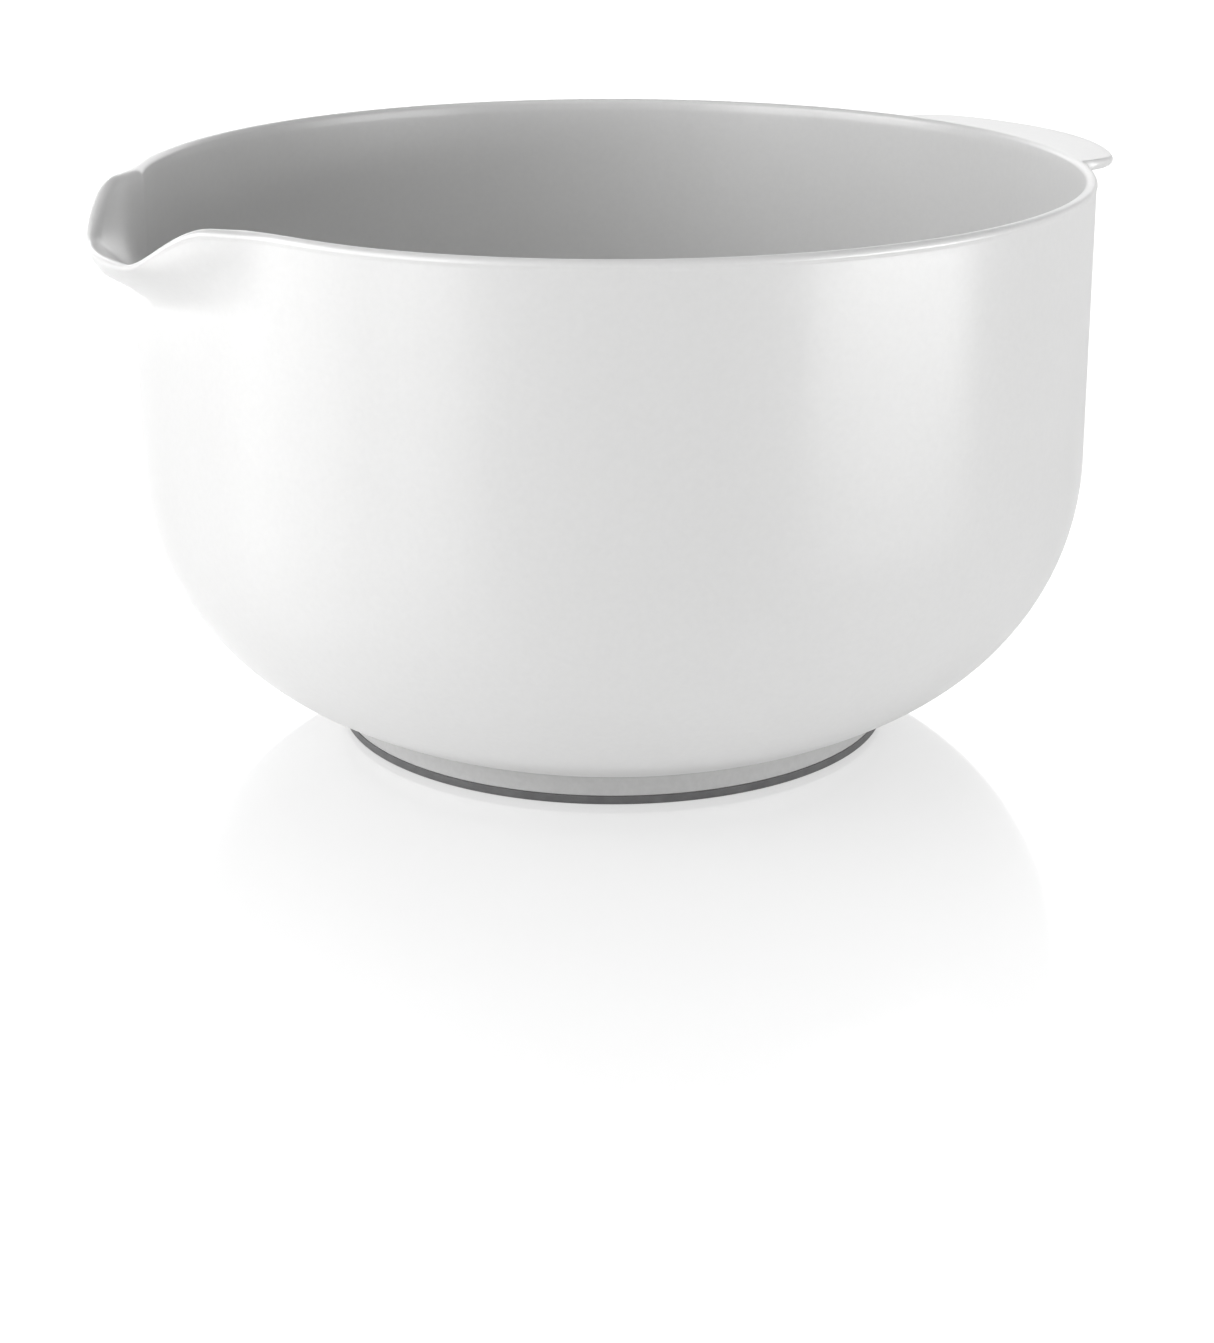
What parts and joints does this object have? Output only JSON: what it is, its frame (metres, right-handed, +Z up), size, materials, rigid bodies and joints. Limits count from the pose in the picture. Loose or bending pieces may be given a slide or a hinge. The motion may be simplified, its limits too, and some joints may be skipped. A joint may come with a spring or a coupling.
{
  "type": "mixing bowl",
  "caption": "Round white mixing bowl with a pouring spout, a flat finger grip opposite it, a raised foot and a soft non-slip ring plugged under the foot.",
  "frame": {"origin": "on the bowl's axis, in the plane that the base ring stands on", "axes": "+Z up along the bowl's axis, -X towards the pouring spout, +X towards the finger grip, XZ the mirror plane"},
  "size_m": [0.2446, 0.22, 0.131],
  "materials": {
    "bowl_shell": "moulded melamine-type plastic, white, satin-matt, very fine mottle",
    "base_ring": "soft silicone rubber, mid grey, matt"
  },
  "bodies": {
    "base_ring": {"base_ring": "base_ring"},
    "bowl": {"bowl": "bowl_shell"}
  },
  "joints": [
    {"name": "ring_release", "type": "slide", "parent": "base_ring", "child": "bowl", "axis": [0, 0, 1], "range_m": [0, 0.03]}
  ]
}
